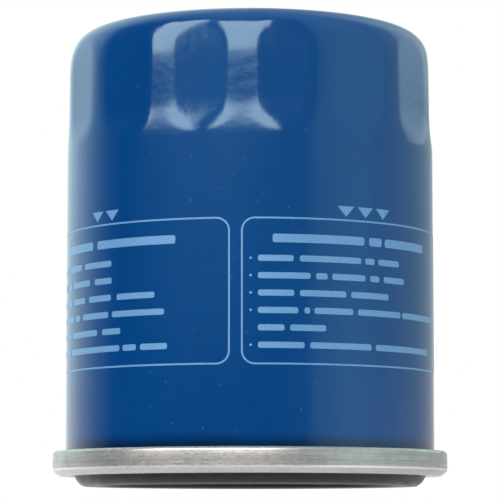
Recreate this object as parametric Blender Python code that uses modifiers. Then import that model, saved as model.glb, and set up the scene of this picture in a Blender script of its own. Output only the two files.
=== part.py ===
"""Spin-on oil filter, built as separate pieces the way the real one is put together.

Frame: the origin is the centre of the gasket's sealing face, and +Z is the filter's axis,
from the engine side to the closed end of the can. Lengths below are in millimetres, and
MM turns them into Blender's metres. Outlines are (radius, height) pairs.
"""
import math

import bmesh
import bpy
from mathutils import Matrix, Vector

MM = 0.001

# Driving dimensions
CAN_R = 33.0
CAN_SHEET = 0.5
DOME_TOP = 83.8
LID_SHEET = 0.45
CAP_SHEET = 0.45
SEAM_WALL_R = 35.075
GAP = 0.3

FLUTES = 14
FLUTE_APOTHEM = 32.37
FLUTE_CORNER_R = 12.4
FLUTE_LEAN = math.tan(math.radians(0.6))
FLUTE_LEAN_Z = 67.0
FLUTE_RUN_Z = 67.25
FLUTE_RUN_LENGTH = 7.14
FLUTE_RUN_POWER = 3.45
FLUTE_FOOT_Z = 57.5
FLUTE_BLEND = 0.2
FLUTE_RUN_BLEND = 0.51
FLUTE_FOLLOW = 0.33
FLUTE_FULL_R = 31.7
FLUTE_FADE_R = 29.6
NECK_START_Z = 59.0
NECK_END_Z = 65.2
NECK_R = 32.88
FILLET_R = 4.6
FILLET_CENTRE_R = 27.635
FILLET_CENTRE_Z = 77.06
FILLET_TOP = 80.0
FILLET_FOOT = 21.0
LEAN_START_Z = 71.7
RIDGE_ANGLE = math.radians(-92.6)

GASKET_OUTER_R = 31.05
GASKET_INNER_R = 27.0
GASKET_HEIGHT = 4.6

PLATE_BOTTOM = 5.6
PLATE_TOP = 8.8
PLATE_R = 32.0
BOSS_R = 12.2
BOSS_TOP = 12.4

THREAD_PITCH = 1.5
THREAD_MAJOR_R = 10.0
THREAD_MINOR_R = 9.188
THREAD_STEPS = 16

INLET_HOLES = 8
INLET_HOLE_R = 2.5
INLET_CIRCLE_R = 18.5

CAP_R = 28.8
LOWER_CAP_Z = 14.625
UPPER_CAP_Z = 71.775
PACK_BOTTOM = 16.5
PACK_TOP = 69.9
TUBE_R = 12.15
TUBE_SHEET = 0.5

PLEATS = 48
PLEAT_INNER_R = 13.5
PLEAT_OUTER_R = 27.2
PAPER = 0.45
CLIP_SHEET = 0.3

CAGE_R = 9.25
STEM_R = 2.0

RINGS = 56
MID_RINGS = 32
SMALL_RINGS = 24

OBJECT_NAME = "oil_filter"


def clear_scene():
    """Start from an empty file."""
    for item in list(bpy.data.objects):
        bpy.data.objects.remove(item, do_unlink=True)


def new_collection(name):
    collection = bpy.data.collections.new(name)
    bpy.context.scene.collection.children.link(collection)
    return collection


def make_material(name, colour, roughness, metallic):
    material = bpy.data.materials.new(name)
    material.use_nodes = True
    shader = material.node_tree.nodes["Principled BSDF"]
    shader.inputs["Base Color"].default_value = (*colour, 1.0)
    shader.inputs["Roughness"].default_value = roughness
    shader.inputs["Metallic"].default_value = metallic
    return material


def put_in(collection, name, mesh, material=None):
    item = bpy.data.objects.new(name, mesh)
    collection.objects.link(item)
    if material:
        mesh.materials.append(material)
    return item


def shade_round(item, angle=math.radians(35)):
    """Smooth shading with crisp edges where the surface really turns."""
    item.data.shade_smooth()
    item.data.set_sharp_from_angle(angle=angle)


def bake_modifiers(item):
    """Replace the object's mesh by what its modifiers make of it, and drop them."""
    bpy.context.view_layer.update()
    graph = bpy.context.evaluated_depsgraph_get()
    mesh = bpy.data.meshes.new_from_object(item.evaluated_get(graph))
    item.modifiers.clear()
    item.data = mesh
    return mesh


def profile_mesh(name, outline, closed):
    """Edges only: a polyline in the XZ plane, ready for the Screw modifier."""
    mesh = bpy.data.meshes.new(name)
    shape = bmesh.new()
    verts = [shape.verts.new((r * MM, 0.0, z * MM)) for r, z in outline]
    pairs = list(zip(verts, verts[1:]))
    if closed:
        pairs.append((verts[-1], verts[0]))
    for start, end in pairs:
        shape.edges.new((start, end))
    shape.to_mesh(mesh)
    shape.free()
    return mesh


def turned(name, outline, material, closed=True, steps=RINGS):
    """A solid of revolution. A closed outline runs down its outer side."""
    item = put_in(PARTS, name, profile_mesh(name, outline, closed), material)
    screw = item.modifiers.new("Turn", "SCREW")
    screw.axis = "Z"
    screw.angle = math.tau
    screw.steps = steps
    screw.render_steps = steps
    screw.use_merge_vertices = True
    screw.merge_threshold = 0.00001
    screw.use_smooth_shade = True
    item.rotation_euler.z = RIDGE_ANGLE
    return item


def thicken(item, thickness, offset=0.0):
    """Give a surface its sheet thickness, centred on the surface when offset is 0."""
    shell = item.modifiers.new("Sheet", "SOLIDIFY")
    shell.thickness = thickness * MM
    shell.offset = offset
    shell.use_even_offset = True
    shell.use_rim = True
    return shell


def pressed(name, centreline, thickness, material, steps=RINGS):
    """A pressed sheet part of revolution, from the middle line of its sheet."""
    item = turned(name, centreline, material, closed=False, steps=steps)
    thicken(item, thickness)
    return item


def peg_cutter(name, placements, radius, length, sides):
    """One cutter made of separate round pegs, each with its own placement matrix."""
    mesh = bpy.data.meshes.new(name)
    shape = bmesh.new()
    for place in placements:
        bmesh.ops.create_cone(
            shape,
            cap_ends=True,
            segments=sides,
            radius1=radius * MM,
            radius2=radius * MM,
            depth=length * MM,
            matrix=place,
        )
    shape.to_mesh(mesh)
    shape.free()
    return as_cutter(put_in(CUTTERS, name, mesh))


def as_cutter(item):
    item.display_type = "WIRE"
    item.hide_render = True
    return item


def cut(item, cutter, name):
    boolean = item.modifiers.new(name, "BOOLEAN")
    boolean.operation = "DIFFERENCE"
    boolean.solver = "EXACT"
    boolean.object = cutter


def arc(centre_r, centre_z, radius, start, end, steps):
    """Points on an arc in the (radius, height) plane, angles in degrees from +radius."""
    points = []
    for step in range(steps + 1):
        angle = math.radians(start + (end - start) * step / steps)
        points.append((centre_r + radius * math.cos(angle), centre_z + radius * math.sin(angle)))
    return points


def smooth_step(value, low, high):
    t = min(max((value - low) / (high - low), 0.0), 1.0)
    return t * t * (3.0 - 2.0 * t)


def smooth_min(a, b, width):
    """The lower of two lengths, with the corner between them rounded over width."""
    blend = max(width - abs(a - b), 0.0) / width
    return min(a, b) - blend * blend * width / 4.0


def flute_radius(angle):
    """Radius of a 14-sided section with rounded corners; a corner lies at angle 0."""
    half = math.pi / FLUTES
    turn = (angle + half) % (2.0 * half) - half
    off_flat = half - abs(turn)
    flat_half = (FLUTE_APOTHEM - FLUTE_CORNER_R) * math.tan(half)
    if FLUTE_APOTHEM * math.tan(off_flat) <= flat_half:
        return FLUTE_APOTHEM / math.cos(off_flat)
    corner_centre = (FLUTE_APOTHEM - FLUTE_CORNER_R) / math.cos(half)
    side = corner_centre * math.sin(abs(turn))
    return corner_centre * math.cos(turn) + math.sqrt(FLUTE_CORNER_R**2 - side**2)


def wall_radius(z):
    """Plain radius of the side wall, which necks in a little below the flutes."""
    return CAN_R - (CAN_R - NECK_R) * smooth_step(z, NECK_START_Z, NECK_END_Z)


def fluted(radius, angle, z):
    """Radius left at a point of the plain can once the flutes are pressed in."""
    run_out = (max(FLUTE_RUN_Z - z, 0.0) / FLUTE_RUN_LENGTH) ** FLUTE_RUN_POWER
    flute = flute_radius(angle) - (z - FLUTE_LEAN_Z) * FLUTE_LEAN + run_out
    if z > LEAN_START_Z:
        flute -= (NECK_R - radius) * FLUTE_FOLLOW
    softness = FLUTE_BLEND + (FLUTE_RUN_BLEND - FLUTE_BLEND) * min(run_out / 0.8, 1.0)
    pressed = radius - smooth_min(radius, flute, softness)
    return radius - pressed * smooth_step(radius, FLUTE_FADE_R, FLUTE_FULL_R)


def shoulder_outline(fillet_steps, lean_steps):
    """Round edge of the closed end: a tight fillet that runs out in a slow inward lean."""
    foot = math.radians(FILLET_FOOT)
    foot_r = FILLET_CENTRE_R + FILLET_R * math.cos(foot)
    foot_z = FILLET_CENTRE_Z + FILLET_R * math.sin(foot)
    drop = NECK_R - foot_r
    span = foot_z - LEAN_START_Z
    power = math.tan(foot) * span / drop
    outline = arc(FILLET_CENTRE_R, FILLET_CENTRE_Z, FILLET_R, FILLET_TOP, FILLET_FOOT, fillet_steps)
    for step in range(1, lean_steps + 1):
        share = 1.0 - step / lean_steps
        outline.append((NECK_R - drop * share**power, LEAN_START_Z + span * share))
    return outline


def make_can():
    """Deep drawn can: turned, then fluted, then given its sheet thickness."""
    dome = [(0.0, DOME_TOP), (13.5, DOME_TOP), (21.0, DOME_TOP - 0.97)]
    wall = [(wall_radius(z), z) for z in (68.5, 66.0, 64.3, 62.7, 61.2, 59.6, 57.0)]
    hook = arc(CAN_R + 0.45, 3.45, 0.45, 180, 360, 2) + [(CAN_R + 0.9, 4.9)]
    outline = dome + shoulder_outline(4, 3) + wall + hook
    can = turned("can", outline, MATERIALS["blue_paint"], closed=False)
    bake_modifiers(can)
    for vert in can.data.vertices:
        height = vert.co.z / MM
        radius = math.hypot(vert.co.x, vert.co.y) / MM
        if height > FLUTE_FOOT_Z and radius > FLUTE_FADE_R:
            scale = fluted(radius, math.atan2(vert.co.y, vert.co.x), height) / radius
            vert.co.x *= scale
            vert.co.y *= scale
    shade_round(can)
    thicken(can, CAN_SHEET, -1.0)
    return can


def make_seam_lid():
    """Lid with the gasket groove and the rolled seam round its edge."""
    lip = [(26.5, 2.9)] + arc(27.0, 4.6, 0.5, 180, 90, 1)
    chuck_wall = arc(31.55, 4.6, 0.5, 90, 0, 1) + arc(32.5, 2.4, 0.45, 180, 270, 1)
    rolled_wall = [(34.1, 1.95), (SEAM_WALL_R, 2.85)]
    fold_out = arc(SEAM_WALL_R - 0.4, 5.575, 0.4, 0, 90, 2)
    fold_in = arc(SEAM_WALL_R - 1.2, 5.575, 0.4, 90, 180, 2)
    cover_hook = [(SEAM_WALL_R - 1.6, 3.6)]
    outline = lip + chuck_wall + rolled_wall + fold_out + fold_in + cover_hook
    return pressed("seam_lid", outline, LID_SHEET, MATERIALS["tin_plate"])


def make_seam_compound():
    outline = [(34.05, 5.5), (34.5, 5.5), (34.5, 5.05), (34.05, 5.05)]
    return turned("seam_compound", outline, MATERIALS["sealant"])


def make_mounting_gasket():
    """Square section rubber ring; its flat lower face is the sealing face, at z = 0."""
    outer = [(GASKET_OUTER_R, GASKET_HEIGHT), (GASKET_OUTER_R, 1.4)]
    face = [(GASKET_OUTER_R - 0.37, 0.5), (GASKET_OUTER_R - 1.25, 0.0), (27.6, 0.0)]
    inner = [(GASKET_INNER_R, 0.6), (GASKET_INNER_R, GASKET_HEIGHT)]
    return turned("mounting_gasket", outer + face + inner, MATERIALS["gasket_rubber"])


def thread_cutter():
    """Helical ridge that cuts the female M20 x 1.5 thread, ends run out past the boss."""
    turns = math.ceil((BOSS_TOP - PLATE_BOTTOM) / THREAD_PITCH) + 2
    start_z = PLATE_BOTTOM - THREAD_PITCH
    crest = THREAD_PITCH / 16.0
    root_r = THREAD_MINOR_R - 0.25
    root = crest + (THREAD_MAJOR_R - root_r) * math.tan(math.radians(30))
    outline = [
        (root_r, start_z + root),
        (THREAD_MAJOR_R, start_z + crest),
        (THREAD_MAJOR_R, start_z - crest),
        (root_r, start_z - root),
    ]
    cutter = put_in(CUTTERS, "thread_cutter", profile_mesh("thread_cutter", outline, True))
    screw = cutter.modifiers.new("Thread", "SCREW")
    screw.axis = "Z"
    screw.angle = math.tau
    screw.screw_offset = THREAD_PITCH * MM
    screw.iterations = turns
    screw.steps = THREAD_STEPS
    screw.render_steps = THREAD_STEPS
    mesh = bake_modifiers(cutter)
    shape = bmesh.new()
    shape.from_mesh(mesh)
    bmesh.ops.remove_doubles(shape, verts=shape.verts, dist=0.000001)
    open_edges = [edge for edge in shape.edges if edge.is_boundary]
    bmesh.ops.holes_fill(shape, edges=open_edges, sides=4)
    bmesh.ops.recalc_face_normals(shape, faces=shape.faces)
    shape.to_mesh(mesh)
    shape.free()
    return as_cutter(cutter)


def make_base_plate():
    """Thick plate with a threaded boss and a ring of inlet holes."""
    outline = [
        (THREAD_MINOR_R + 0.6, BOSS_TOP),
        (BOSS_R - 0.3, BOSS_TOP),
        (BOSS_R, BOSS_TOP - 0.3),
        (BOSS_R, PLATE_TOP),
        (PLATE_R - 0.4, PLATE_TOP),
        (PLATE_R, PLATE_TOP - 0.4),
        (PLATE_R, PLATE_BOTTOM),
        (THREAD_MAJOR_R + 0.4, PLATE_BOTTOM),
        (THREAD_MINOR_R, PLATE_BOTTOM + 1.2),
        (THREAD_MINOR_R, BOSS_TOP - 0.6),
    ]
    plate = turned("base_plate", outline, MATERIALS["zinc_plate"], steps=MID_RINGS)
    holes = []
    for index in range(INLET_HOLES):
        angle = math.tau * (index + 0.5) / INLET_HOLES
        spot = Vector((math.cos(angle), math.sin(angle), 0.0)) * INLET_CIRCLE_R * MM
        spot.z = (PLATE_BOTTOM + PLATE_TOP) / 2.0 * MM
        holes.append(Matrix.Translation(spot))
    cut(plate, peg_cutter("inlet_cutter", holes, INLET_HOLE_R, 6.0, 16), "Inlet holes")
    cut(plate, thread_cutter(), "Thread")
    return plate


def make_anti_drain_valve():
    """Rubber collar round the boss, with a skirt that covers the inlet holes."""
    low = PLATE_TOP + GAP
    collar_r = BOSS_R + GAP
    outline = [
        (collar_r, 12.0),
        (14.2, 12.0),
        (15.6, 11.2),
        (24.2, 9.9),
        (25.0, 9.6),
        (25.0, low),
        (23.6, low),
        (15.6, 10.3),
        (14.2, low),
        (collar_r, low),
    ]
    return turned("anti_drain_valve", outline, MATERIALS["valve_rubber"], steps=MID_RINGS)


def make_element_seal():
    low = BOSS_TOP + GAP
    outline = [(10.4, 14.1), (12.3, 14.1), (12.3, low), (10.4, low)]
    return turned("element_seal", outline, MATERIALS["valve_rubber"], steps=SMALL_RINGS)


def make_lower_end_cap():
    hub = [(11.0, 17.4)] + arc(11.4, LOWER_CAP_Z + 0.4, 0.4, 180, 270, 1)
    rim = arc(CAP_R - 0.6, LOWER_CAP_Z + 0.6, 0.6, -90, 0, 1) + [(CAP_R, 17.6)]
    return pressed("lower_end_cap", hub + rim, CAP_SHEET, MATERIALS["cap_steel"], steps=MID_RINGS)


def make_upper_end_cap():
    """Cap whose centre hole is the seat of the bypass valve."""
    rim = arc(CAP_R - 0.6, UPPER_CAP_Z - 0.6, 0.6, 90, 0, 1) + [(CAP_R, 68.8)]
    outline = [(6.5, UPPER_CAP_Z)] + rim
    return pressed("upper_end_cap", outline, CAP_SHEET, MATERIALS["cap_steel"], steps=MID_RINGS)


def make_adhesive(name, low, high):
    outline = [(12.9, high), (27.9, high), (27.9, low), (12.9, low)]
    return turned(name, outline, MATERIALS["adhesive"], steps=MID_RINGS)


def make_center_tube():
    """Steel core with staggered rows of holes."""
    low = LOWER_CAP_Z + CAP_SHEET / 2.0 + GAP
    high = UPPER_CAP_Z - CAP_SHEET / 2.0 - GAP
    outline = [(TUBE_R, high), (TUBE_R, low)]
    tube = pressed("center_tube", outline, TUBE_SHEET, MATERIALS["core_steel"], steps=MID_RINGS)
    rows = 4
    columns = 8
    places = []
    for row in range(rows):
        height = low + 6.0 + (high - low - 12.0) * row / (rows - 1)
        for column in range(columns):
            angle = math.tau * (column + 0.5 * (row % 2)) / columns
            spot = Matrix.Translation(Vector((0.0, 0.0, height * MM)))
            out = Matrix.Translation(Vector((TUBE_R * MM, 0.0, 0.0)))
            lay_down = Matrix.Rotation(math.pi / 2.0, 4, "Y")
            places.append(spot @ Matrix.Rotation(angle, 4, "Z") @ out @ lay_down)
    cut(tube, peg_cutter("core_cutter", places, 2.2, 3.0, 6), "Flow holes")
    return tube


def folded_strip(name, corners, low, high, thickness, material, closed):
    """A standing strip of sheet that follows a folded line seen from above."""
    mesh = bpy.data.meshes.new(name)
    shape = bmesh.new()
    verts = [shape.verts.new((x * MM, y * MM, low * MM)) for x, y in corners]
    pairs = list(zip(verts, verts[1:]))
    if closed:
        pairs.append((verts[-1], verts[0]))
    edges = [shape.edges.new(pair) for pair in pairs]
    made = bmesh.ops.extrude_edge_only(shape, edges=edges)
    moved = [part for part in made["geom"] if isinstance(part, bmesh.types.BMVert)]
    bmesh.ops.translate(shape, verts=moved, vec=(0.0, 0.0, (high - low) * MM))
    bmesh.ops.recalc_face_normals(shape, faces=shape.faces)
    shape.to_mesh(mesh)
    shape.free()
    strip = put_in(PARTS, name, mesh, material)
    thicken(strip, thickness)
    return strip


def make_pleated_media():
    """Paper folded into a star: a narrow flat tip outside, a narrow flat fold inside."""
    outer_half = 0.52
    inner_half = 0.4
    corners = []
    for pleat in range(PLEATS):
        middle = math.tau * pleat / PLEATS
        stops = (
            (PLEAT_OUTER_R, middle - outer_half / PLEAT_OUTER_R),
            (PLEAT_OUTER_R, middle + outer_half / PLEAT_OUTER_R),
            (PLEAT_INNER_R, middle + math.pi / PLEATS - inner_half / PLEAT_INNER_R),
            (PLEAT_INNER_R, middle + math.pi / PLEATS + inner_half / PLEAT_INNER_R),
        )
        for radius, angle in stops:
            corners.append((radius * math.cos(angle), radius * math.sin(angle)))
    return folded_strip(
        "pleated_media", corners, PACK_BOTTOM, PACK_TOP, PAPER, MATERIALS["paper"], closed=True
    )


def make_media_seam_clip():
    """Metal strip folded over one pleat, along the whole height of the paper."""
    back = PLEAT_OUTER_R + PAPER / 2.0 + GAP + CLIP_SHEET / 2.0
    half = 1.25
    corners = [(back - 4.0, -half), (back, -half), (back, half), (back - 4.0, half)]
    return folded_strip(
        "media_seam_clip",
        corners,
        PACK_BOTTOM + GAP,
        PACK_TOP - GAP,
        CLIP_SHEET,
        MATERIALS["core_steel"],
        closed=False,
    )


def make_bypass_cage():
    """Cup hung under the upper cap, with four windows and a guide hole for the stem."""
    flange = [(11.2, 71.0), (9.7, 71.0)]
    cup = [(CAGE_R, 70.6), (CAGE_R, 59.0), (8.8, 58.6), (2.55, 58.6)]
    cage = pressed("bypass_cage", flange + cup, CAP_SHEET, MATERIALS["core_steel"], steps=SMALL_RINGS)
    mesh = bpy.data.meshes.new("window_cutter")
    shape = bmesh.new()
    for index in range(4):
        spot = Matrix.Rotation(math.tau * (index + 0.5) / 4.0, 4, "Z")
        spot = spot @ Matrix.Translation(Vector((CAGE_R * MM, 0.0, 64.2 * MM)))
        size = Matrix.Diagonal(Vector((3.0 * MM, 7.0 * MM, 7.0 * MM, 1.0)))
        bmesh.ops.create_cube(shape, size=1.0, matrix=spot @ size)
    shape.to_mesh(mesh)
    shape.free()
    cut(cage, as_cutter(put_in(CUTTERS, "window_cutter", mesh)), "Windows")
    return cage


def make_bypass_seal():
    outline = [(0.0, 71.25), (7.9, 71.25), (8.2, 70.95), (8.2, 70.25), (7.9, 69.95), (0.0, 69.95)]
    return turned("bypass_seal", outline, MATERIALS["valve_rubber"], closed=False, steps=SMALL_RINGS)


def make_bypass_poppet():
    """Steel plate behind the rubber disc, with the stem that guides it."""
    plate = [(0.0, 69.65), (7.7, 69.65), (8.0, 69.35), (8.0, 68.85), (STEM_R + 0.5, 68.85)]
    stem = [(STEM_R, 68.35), (STEM_R, 55.4), (STEM_R - 0.5, 54.9), (0.0, 54.9)]
    return turned("bypass_poppet", plate + stem, MATERIALS["core_steel"], closed=False, steps=SMALL_RINGS)


def make_spring_seat():
    low = UPPER_CAP_Z + CAP_SHEET / 2.0 + GAP + 0.25
    outline = [(9.0, 75.0), (9.0, low + 0.5), (9.5, low), (14.6, low), (15.1, low + 0.5), (15.1, 73.6)]
    return pressed("spring_seat", outline, 0.5, MATERIALS["core_steel"], steps=MID_RINGS)


def make_coil(name, radius, wire_r, low, high, turns, steps, material):
    """A coil spring with flat capped ends, between two heights of its wire's surface."""
    path = bpy.data.curves.new(name, "CURVE")
    path.dimensions = "3D"
    path.bevel_depth = wire_r * MM
    path.bevel_resolution = 2
    path.use_fill_caps = True
    count = int(turns * steps) + 1
    spline = path.splines.new("POLY")
    spline.points.add(count - 1)
    for index, point in enumerate(spline.points):
        share = index / (count - 1)
        angle = math.tau * turns * share
        height = low + wire_r + (high - low - 2.0 * wire_r) * share
        point.co = (radius * MM * math.cos(angle), radius * MM * math.sin(angle), height * MM, 1.0)
    curve = bpy.data.objects.new(name + "_path", path)
    PARTS.objects.link(curve)
    bpy.context.view_layer.update()
    graph = bpy.context.evaluated_depsgraph_get()
    mesh = bpy.data.meshes.new_from_object(curve.evaluated_get(graph))
    mesh.name = name
    shape = bmesh.new()
    shape.from_mesh(mesh)
    bmesh.ops.remove_doubles(shape, verts=shape.verts, dist=0.000001)
    bmesh.ops.recalc_face_normals(shape, faces=shape.faces)
    shape.to_mesh(mesh)
    shape.free()
    coil = put_in(PARTS, name, mesh)
    coil.matrix_world = curve.matrix_world
    bpy.data.objects.remove(curve, do_unlink=True)
    mesh.materials.clear()
    mesh.materials.append(material)
    shade_round(coil, math.radians(60))
    return coil


clear_scene()
PARTS = new_collection(OBJECT_NAME)
CUTTERS = new_collection("cutters")
MATERIALS = {
    "blue_paint": make_material("blue_paint", (0.004, 0.061, 0.238), 0.22, 0.0),
    "tin_plate": make_material("tin_plate", (0.55, 0.57, 0.56), 0.32, 1.0),
    "zinc_plate": make_material("zinc_plate", (0.42, 0.43, 0.42), 0.38, 1.0),
    "cap_steel": make_material("cap_steel", (0.50, 0.50, 0.49), 0.42, 1.0),
    "core_steel": make_material("core_steel", (0.45, 0.45, 0.44), 0.40, 1.0),
    "spring_steel": make_material("spring_steel", (0.22, 0.22, 0.23), 0.35, 1.0),
    "gasket_rubber": make_material("gasket_rubber", (0.022, 0.021, 0.020), 0.55, 0.0),
    "valve_rubber": make_material("valve_rubber", (0.030, 0.030, 0.032), 0.60, 0.0),
    "sealant": make_material("sealant", (0.30, 0.27, 0.22), 0.70, 0.0),
    "adhesive": make_material("adhesive", (0.55, 0.30, 0.18), 0.65, 0.0),
    "paper": make_material("paper", (0.68, 0.55, 0.34), 0.90, 0.0),
}

make_can()
make_seam_lid()
make_seam_compound()
make_mounting_gasket()
make_base_plate()
make_anti_drain_valve()
make_element_seal()
make_lower_end_cap()
make_adhesive("lower_adhesive", 15.15, 16.2)
make_center_tube()
make_pleated_media()
make_media_seam_clip()
make_adhesive("upper_adhesive", 70.2, 71.25)
make_upper_end_cap()
make_bypass_cage()
make_bypass_seal()
make_bypass_poppet()
make_coil("bypass_spring", 5.0, 0.45, 59.13, 68.55, 4.5, 12, MATERIALS["spring_steel"])
make_spring_seat()
make_coil("hold_down_spring", 12.0, 0.9, 73.13, 83.0, 3.0, 18, MATERIALS["spring_steel"])
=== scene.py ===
"""Looks of the spin-on oil filter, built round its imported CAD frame.

Everything here shares the CAD's frame: origin at the centre of the gasket's sealing face,
+Z towards the closed end, and the printed front facing -Y. Outlines are (radius, height)
pairs in millimetres, and heights and radii start from the boxes of the CAD nodes.
"""
import math

import bmesh
import bpy
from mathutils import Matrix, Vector


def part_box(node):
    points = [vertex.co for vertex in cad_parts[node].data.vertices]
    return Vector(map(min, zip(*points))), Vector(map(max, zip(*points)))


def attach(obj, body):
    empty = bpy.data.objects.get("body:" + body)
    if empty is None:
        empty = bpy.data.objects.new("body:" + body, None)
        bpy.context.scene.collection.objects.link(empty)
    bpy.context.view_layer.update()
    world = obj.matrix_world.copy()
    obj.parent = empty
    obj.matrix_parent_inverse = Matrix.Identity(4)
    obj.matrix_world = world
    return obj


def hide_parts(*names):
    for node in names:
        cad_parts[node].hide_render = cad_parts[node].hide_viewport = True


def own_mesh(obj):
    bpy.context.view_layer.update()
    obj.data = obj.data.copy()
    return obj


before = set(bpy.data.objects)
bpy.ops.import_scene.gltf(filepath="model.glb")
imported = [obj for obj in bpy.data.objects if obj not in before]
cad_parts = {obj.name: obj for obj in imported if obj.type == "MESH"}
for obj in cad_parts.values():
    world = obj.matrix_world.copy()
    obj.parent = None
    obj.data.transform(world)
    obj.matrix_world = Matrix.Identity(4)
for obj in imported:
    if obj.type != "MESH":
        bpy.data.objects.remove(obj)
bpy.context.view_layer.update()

MM = 0.001

# The CAD's turned parts all have a corner this far off the X axis, so a box is a little
# narrower than the part's true radius.
FACET_TURN = math.radians(2.6)


def radius_of(node):
    low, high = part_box(node)
    return (high.x - low.x) / 2.0 / math.cos(FACET_TURN) / MM


def low_of(node):
    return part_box(node)[0].z / MM


def high_of(node):
    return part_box(node)[1].z / MM


# Can
CAN_SHEET = 0.5
HOOK_BEND = 0.45
HOOK_Z = 3.45
HOOK_TOP = 4.9
HOOK_R = radius_of("can")
CAN_R = HOOK_R - CAN_SHEET - 2.0 * HOOK_BEND
WALL_FOOT = 6.0
WALL_STEP = 0.45
DOME_TOP = high_of("can")
NECK_R = CAN_R - 0.12
NECK_START_Z = 59.0
NECK_END_Z = 65.2
FILLET_R = 4.6
FILLET_CENTRE_R = CAN_R - 5.365
FILLET_CENTRE_Z = DOME_TOP - 6.74
FILLET_TOP = 80.0
FILLET_FOOT = 21.0
LEAN_START_Z = DOME_TOP - 12.1

# Closed end: its flat middle, the bend beside it, and how far it has dropped by the fillet
FLAT_R = 12.6
CROWN_CENTRE_R = 13.5
CROWN_R = 8.0
CROWN_DROPS = ((21.0, 0.97), (24.5, 1.53))

# Flutes
FLUTES = 14
FLUTE_APOTHEM = CAN_R - 0.63
FLUTE_CORNER_R = 12.4
FLUTE_LEAN = math.tan(math.radians(0.6))
FLUTE_LEAN_Z = 67.0
FLUTE_RUN_Z = 67.25
FLUTE_RUN_LENGTH = 7.14
FLUTE_RUN_POWER = 3.45
FLUTE_BLEND = 0.2
FLUTE_RUN_BLEND = 0.51
FLUTE_FOLLOW = 0.33
FLUTE_FULL_R = CAN_R - 1.3
FLUTE_FADE_R = CAN_R - 3.4
RIDGE_ANGLE = math.radians(-92.6)

# Lid: outlines run through the middle of the sheet
LID_SHEET = 0.45
SEAM_WALL_R = radius_of("seam_lid") - LID_SHEET / 2.0
SEAM_TOP = high_of("seam_lid") - LID_SHEET / 2.0
LIP_R = 26.5
LIP_Z = 2.9
GROOVE_R = 32.05
GROOVE_TOP = 4.6
GROOVE_BEND = 0.5
SKIRT_Z = 2.02
SKIRT_R = 34.0
SKIRT_BEND = 0.25
SKIRT_START_BEND = 0.45
EDGE_BEND = 0.3
EDGE_Z = 2.95
SEAM_BEND = 0.42
SEAM_HOOK_IN = 1.6
SEAM_LEAN_HEIGHT = 1.45
SEAM_LEAN_R = 13.0
SEAM_LEAN_STEP = 0.14

# Gasket
GASKET_R = radius_of("mounting_gasket")
GASKET_TOP = high_of("mounting_gasket")
GASKET_INNER_R = 27.0
GASKET_INNER_EDGE = 0.6
GASKET_EDGE = 0.25
GASKET_SWELL_R = 0.5
GASKET_SWELL_Z = 1.95
GASKET_TOE_CENTRE = (28.75, 2.55)
GASKET_TOE_R = 2.72
GASKET_FACE_R = 29.75
GASKET_FACE_EDGE = 0.16

# Print on the can
INK_LIFT = 0.03
INK_ROOT = 0.05
PANELS = 4
PANEL_TOP = 44.8
PANEL_BOTTOM = 20.1
PANEL_GAP = 2.18
PANEL_START = -1.37
PANEL_CORNER_R = 2.2
LINE_WIDTH = 0.3
TRIANGLE_COUNTS = (3, 4, 1, 2)
TRIANGLE_PITCH = 4.05
TRIANGLE_LOW = 45.4
TRIANGLE_WIDTH = 3.25
TRIANGLE_HEIGHT = 1.75
TRIANGLE_SHIFT = 0.25
TRIPLE_SHIFT = 2.0
BULLET_ROWS = (0, 1, 2, 3, 5)
BULLET_PLACE = 1.25
BULLET_WIDTH = 0.45
BULLET_HALF_HEIGHT = 0.22

# Steps round every turned piece
COLUMNS = FLUTES * 24

# Coil springs
COIL_STEPS = 48
COIL_FLAT = 0.3
WIRE_SIDES = 16

# Each spring: piece, CAD node, body, joint, coil radius, wire radius, turns, the joint's travel
# and the end that stays put
SPRINGS = (
    ("hold_down_coil", "hold_down_spring", "housing", "element_lift", 12.0, 0.9, 3.0, 1.5, "top"),
    ("bypass_coil", "bypass_spring", "element", "bypass_open", 5.0, 0.45, 4.5, 3.0, "bottom"),
)


# Mesh building


def arc(centre_r, centre_z, radius, start, end, steps):
    """Points on an arc in the (radius, height) plane, angles in degrees from +radius."""
    points = []
    for step in range(steps + 1):
        angle = math.radians(start + (end - start) * step / steps)
        points.append((centre_r + radius * math.cos(angle), centre_z + radius * math.sin(angle)))
    return points


def heights(high, low, step):
    """Evenly spaced heights from high to low, both included."""
    count = max(1, round((high - low) / step))
    return [high + (low - high) * index / count for index in range(count + 1)]


def smooth_step(value, low, high):
    t = min(max((value - low) / (high - low), 0.0), 1.0)
    return t * t * (3.0 - 2.0 * t)


def smooth_min(a, b, width):
    blend = max(width - abs(a - b), 0.0) / width
    return min(a, b) - blend * blend * width / 4.0


def mesh_piece(name, body, mesh, material, *nodes):
    """A shown piece that rides on a body and stands for the named CAD nodes."""
    piece = bpy.data.objects.new(name, mesh)
    bpy.context.scene.collection.objects.link(piece)
    mesh.materials.append(material)
    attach(piece, body)
    if nodes:
        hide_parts(*nodes)
    return piece


def revolved(name, outline, steps, closed=True, reshape=None):
    """Mesh of a turned outline. A closed outline runs down its outer side."""
    verts = []
    rings = []
    for radius, height in outline:
        if radius < 0.0001:
            rings.append([len(verts)] * steps)
            verts.append((0.0, 0.0, height * MM))
            continue
        rings.append(list(range(len(verts), len(verts) + steps)))
        for column in range(steps):
            turn = math.tau * column / steps
            reach = reshape(radius, turn, height) if reshape else radius
            angle = turn + RIDGE_ANGLE
            verts.append((reach * MM * math.cos(angle), reach * MM * math.sin(angle), height * MM))
    pairs = list(zip(rings, rings[1:]))
    if closed:
        pairs.append((rings[-1], rings[0]))
    faces = []
    for upper, lower in pairs:
        for column in range(steps):
            after = (column + 1) % steps
            loop = (lower[column], lower[after], upper[after], upper[column])
            faces.append(tuple(dict.fromkeys(loop)))
    mesh = bpy.data.meshes.new(name)
    mesh.from_pydata(verts, [], faces)
    mesh.shade_smooth()
    return mesh


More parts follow.
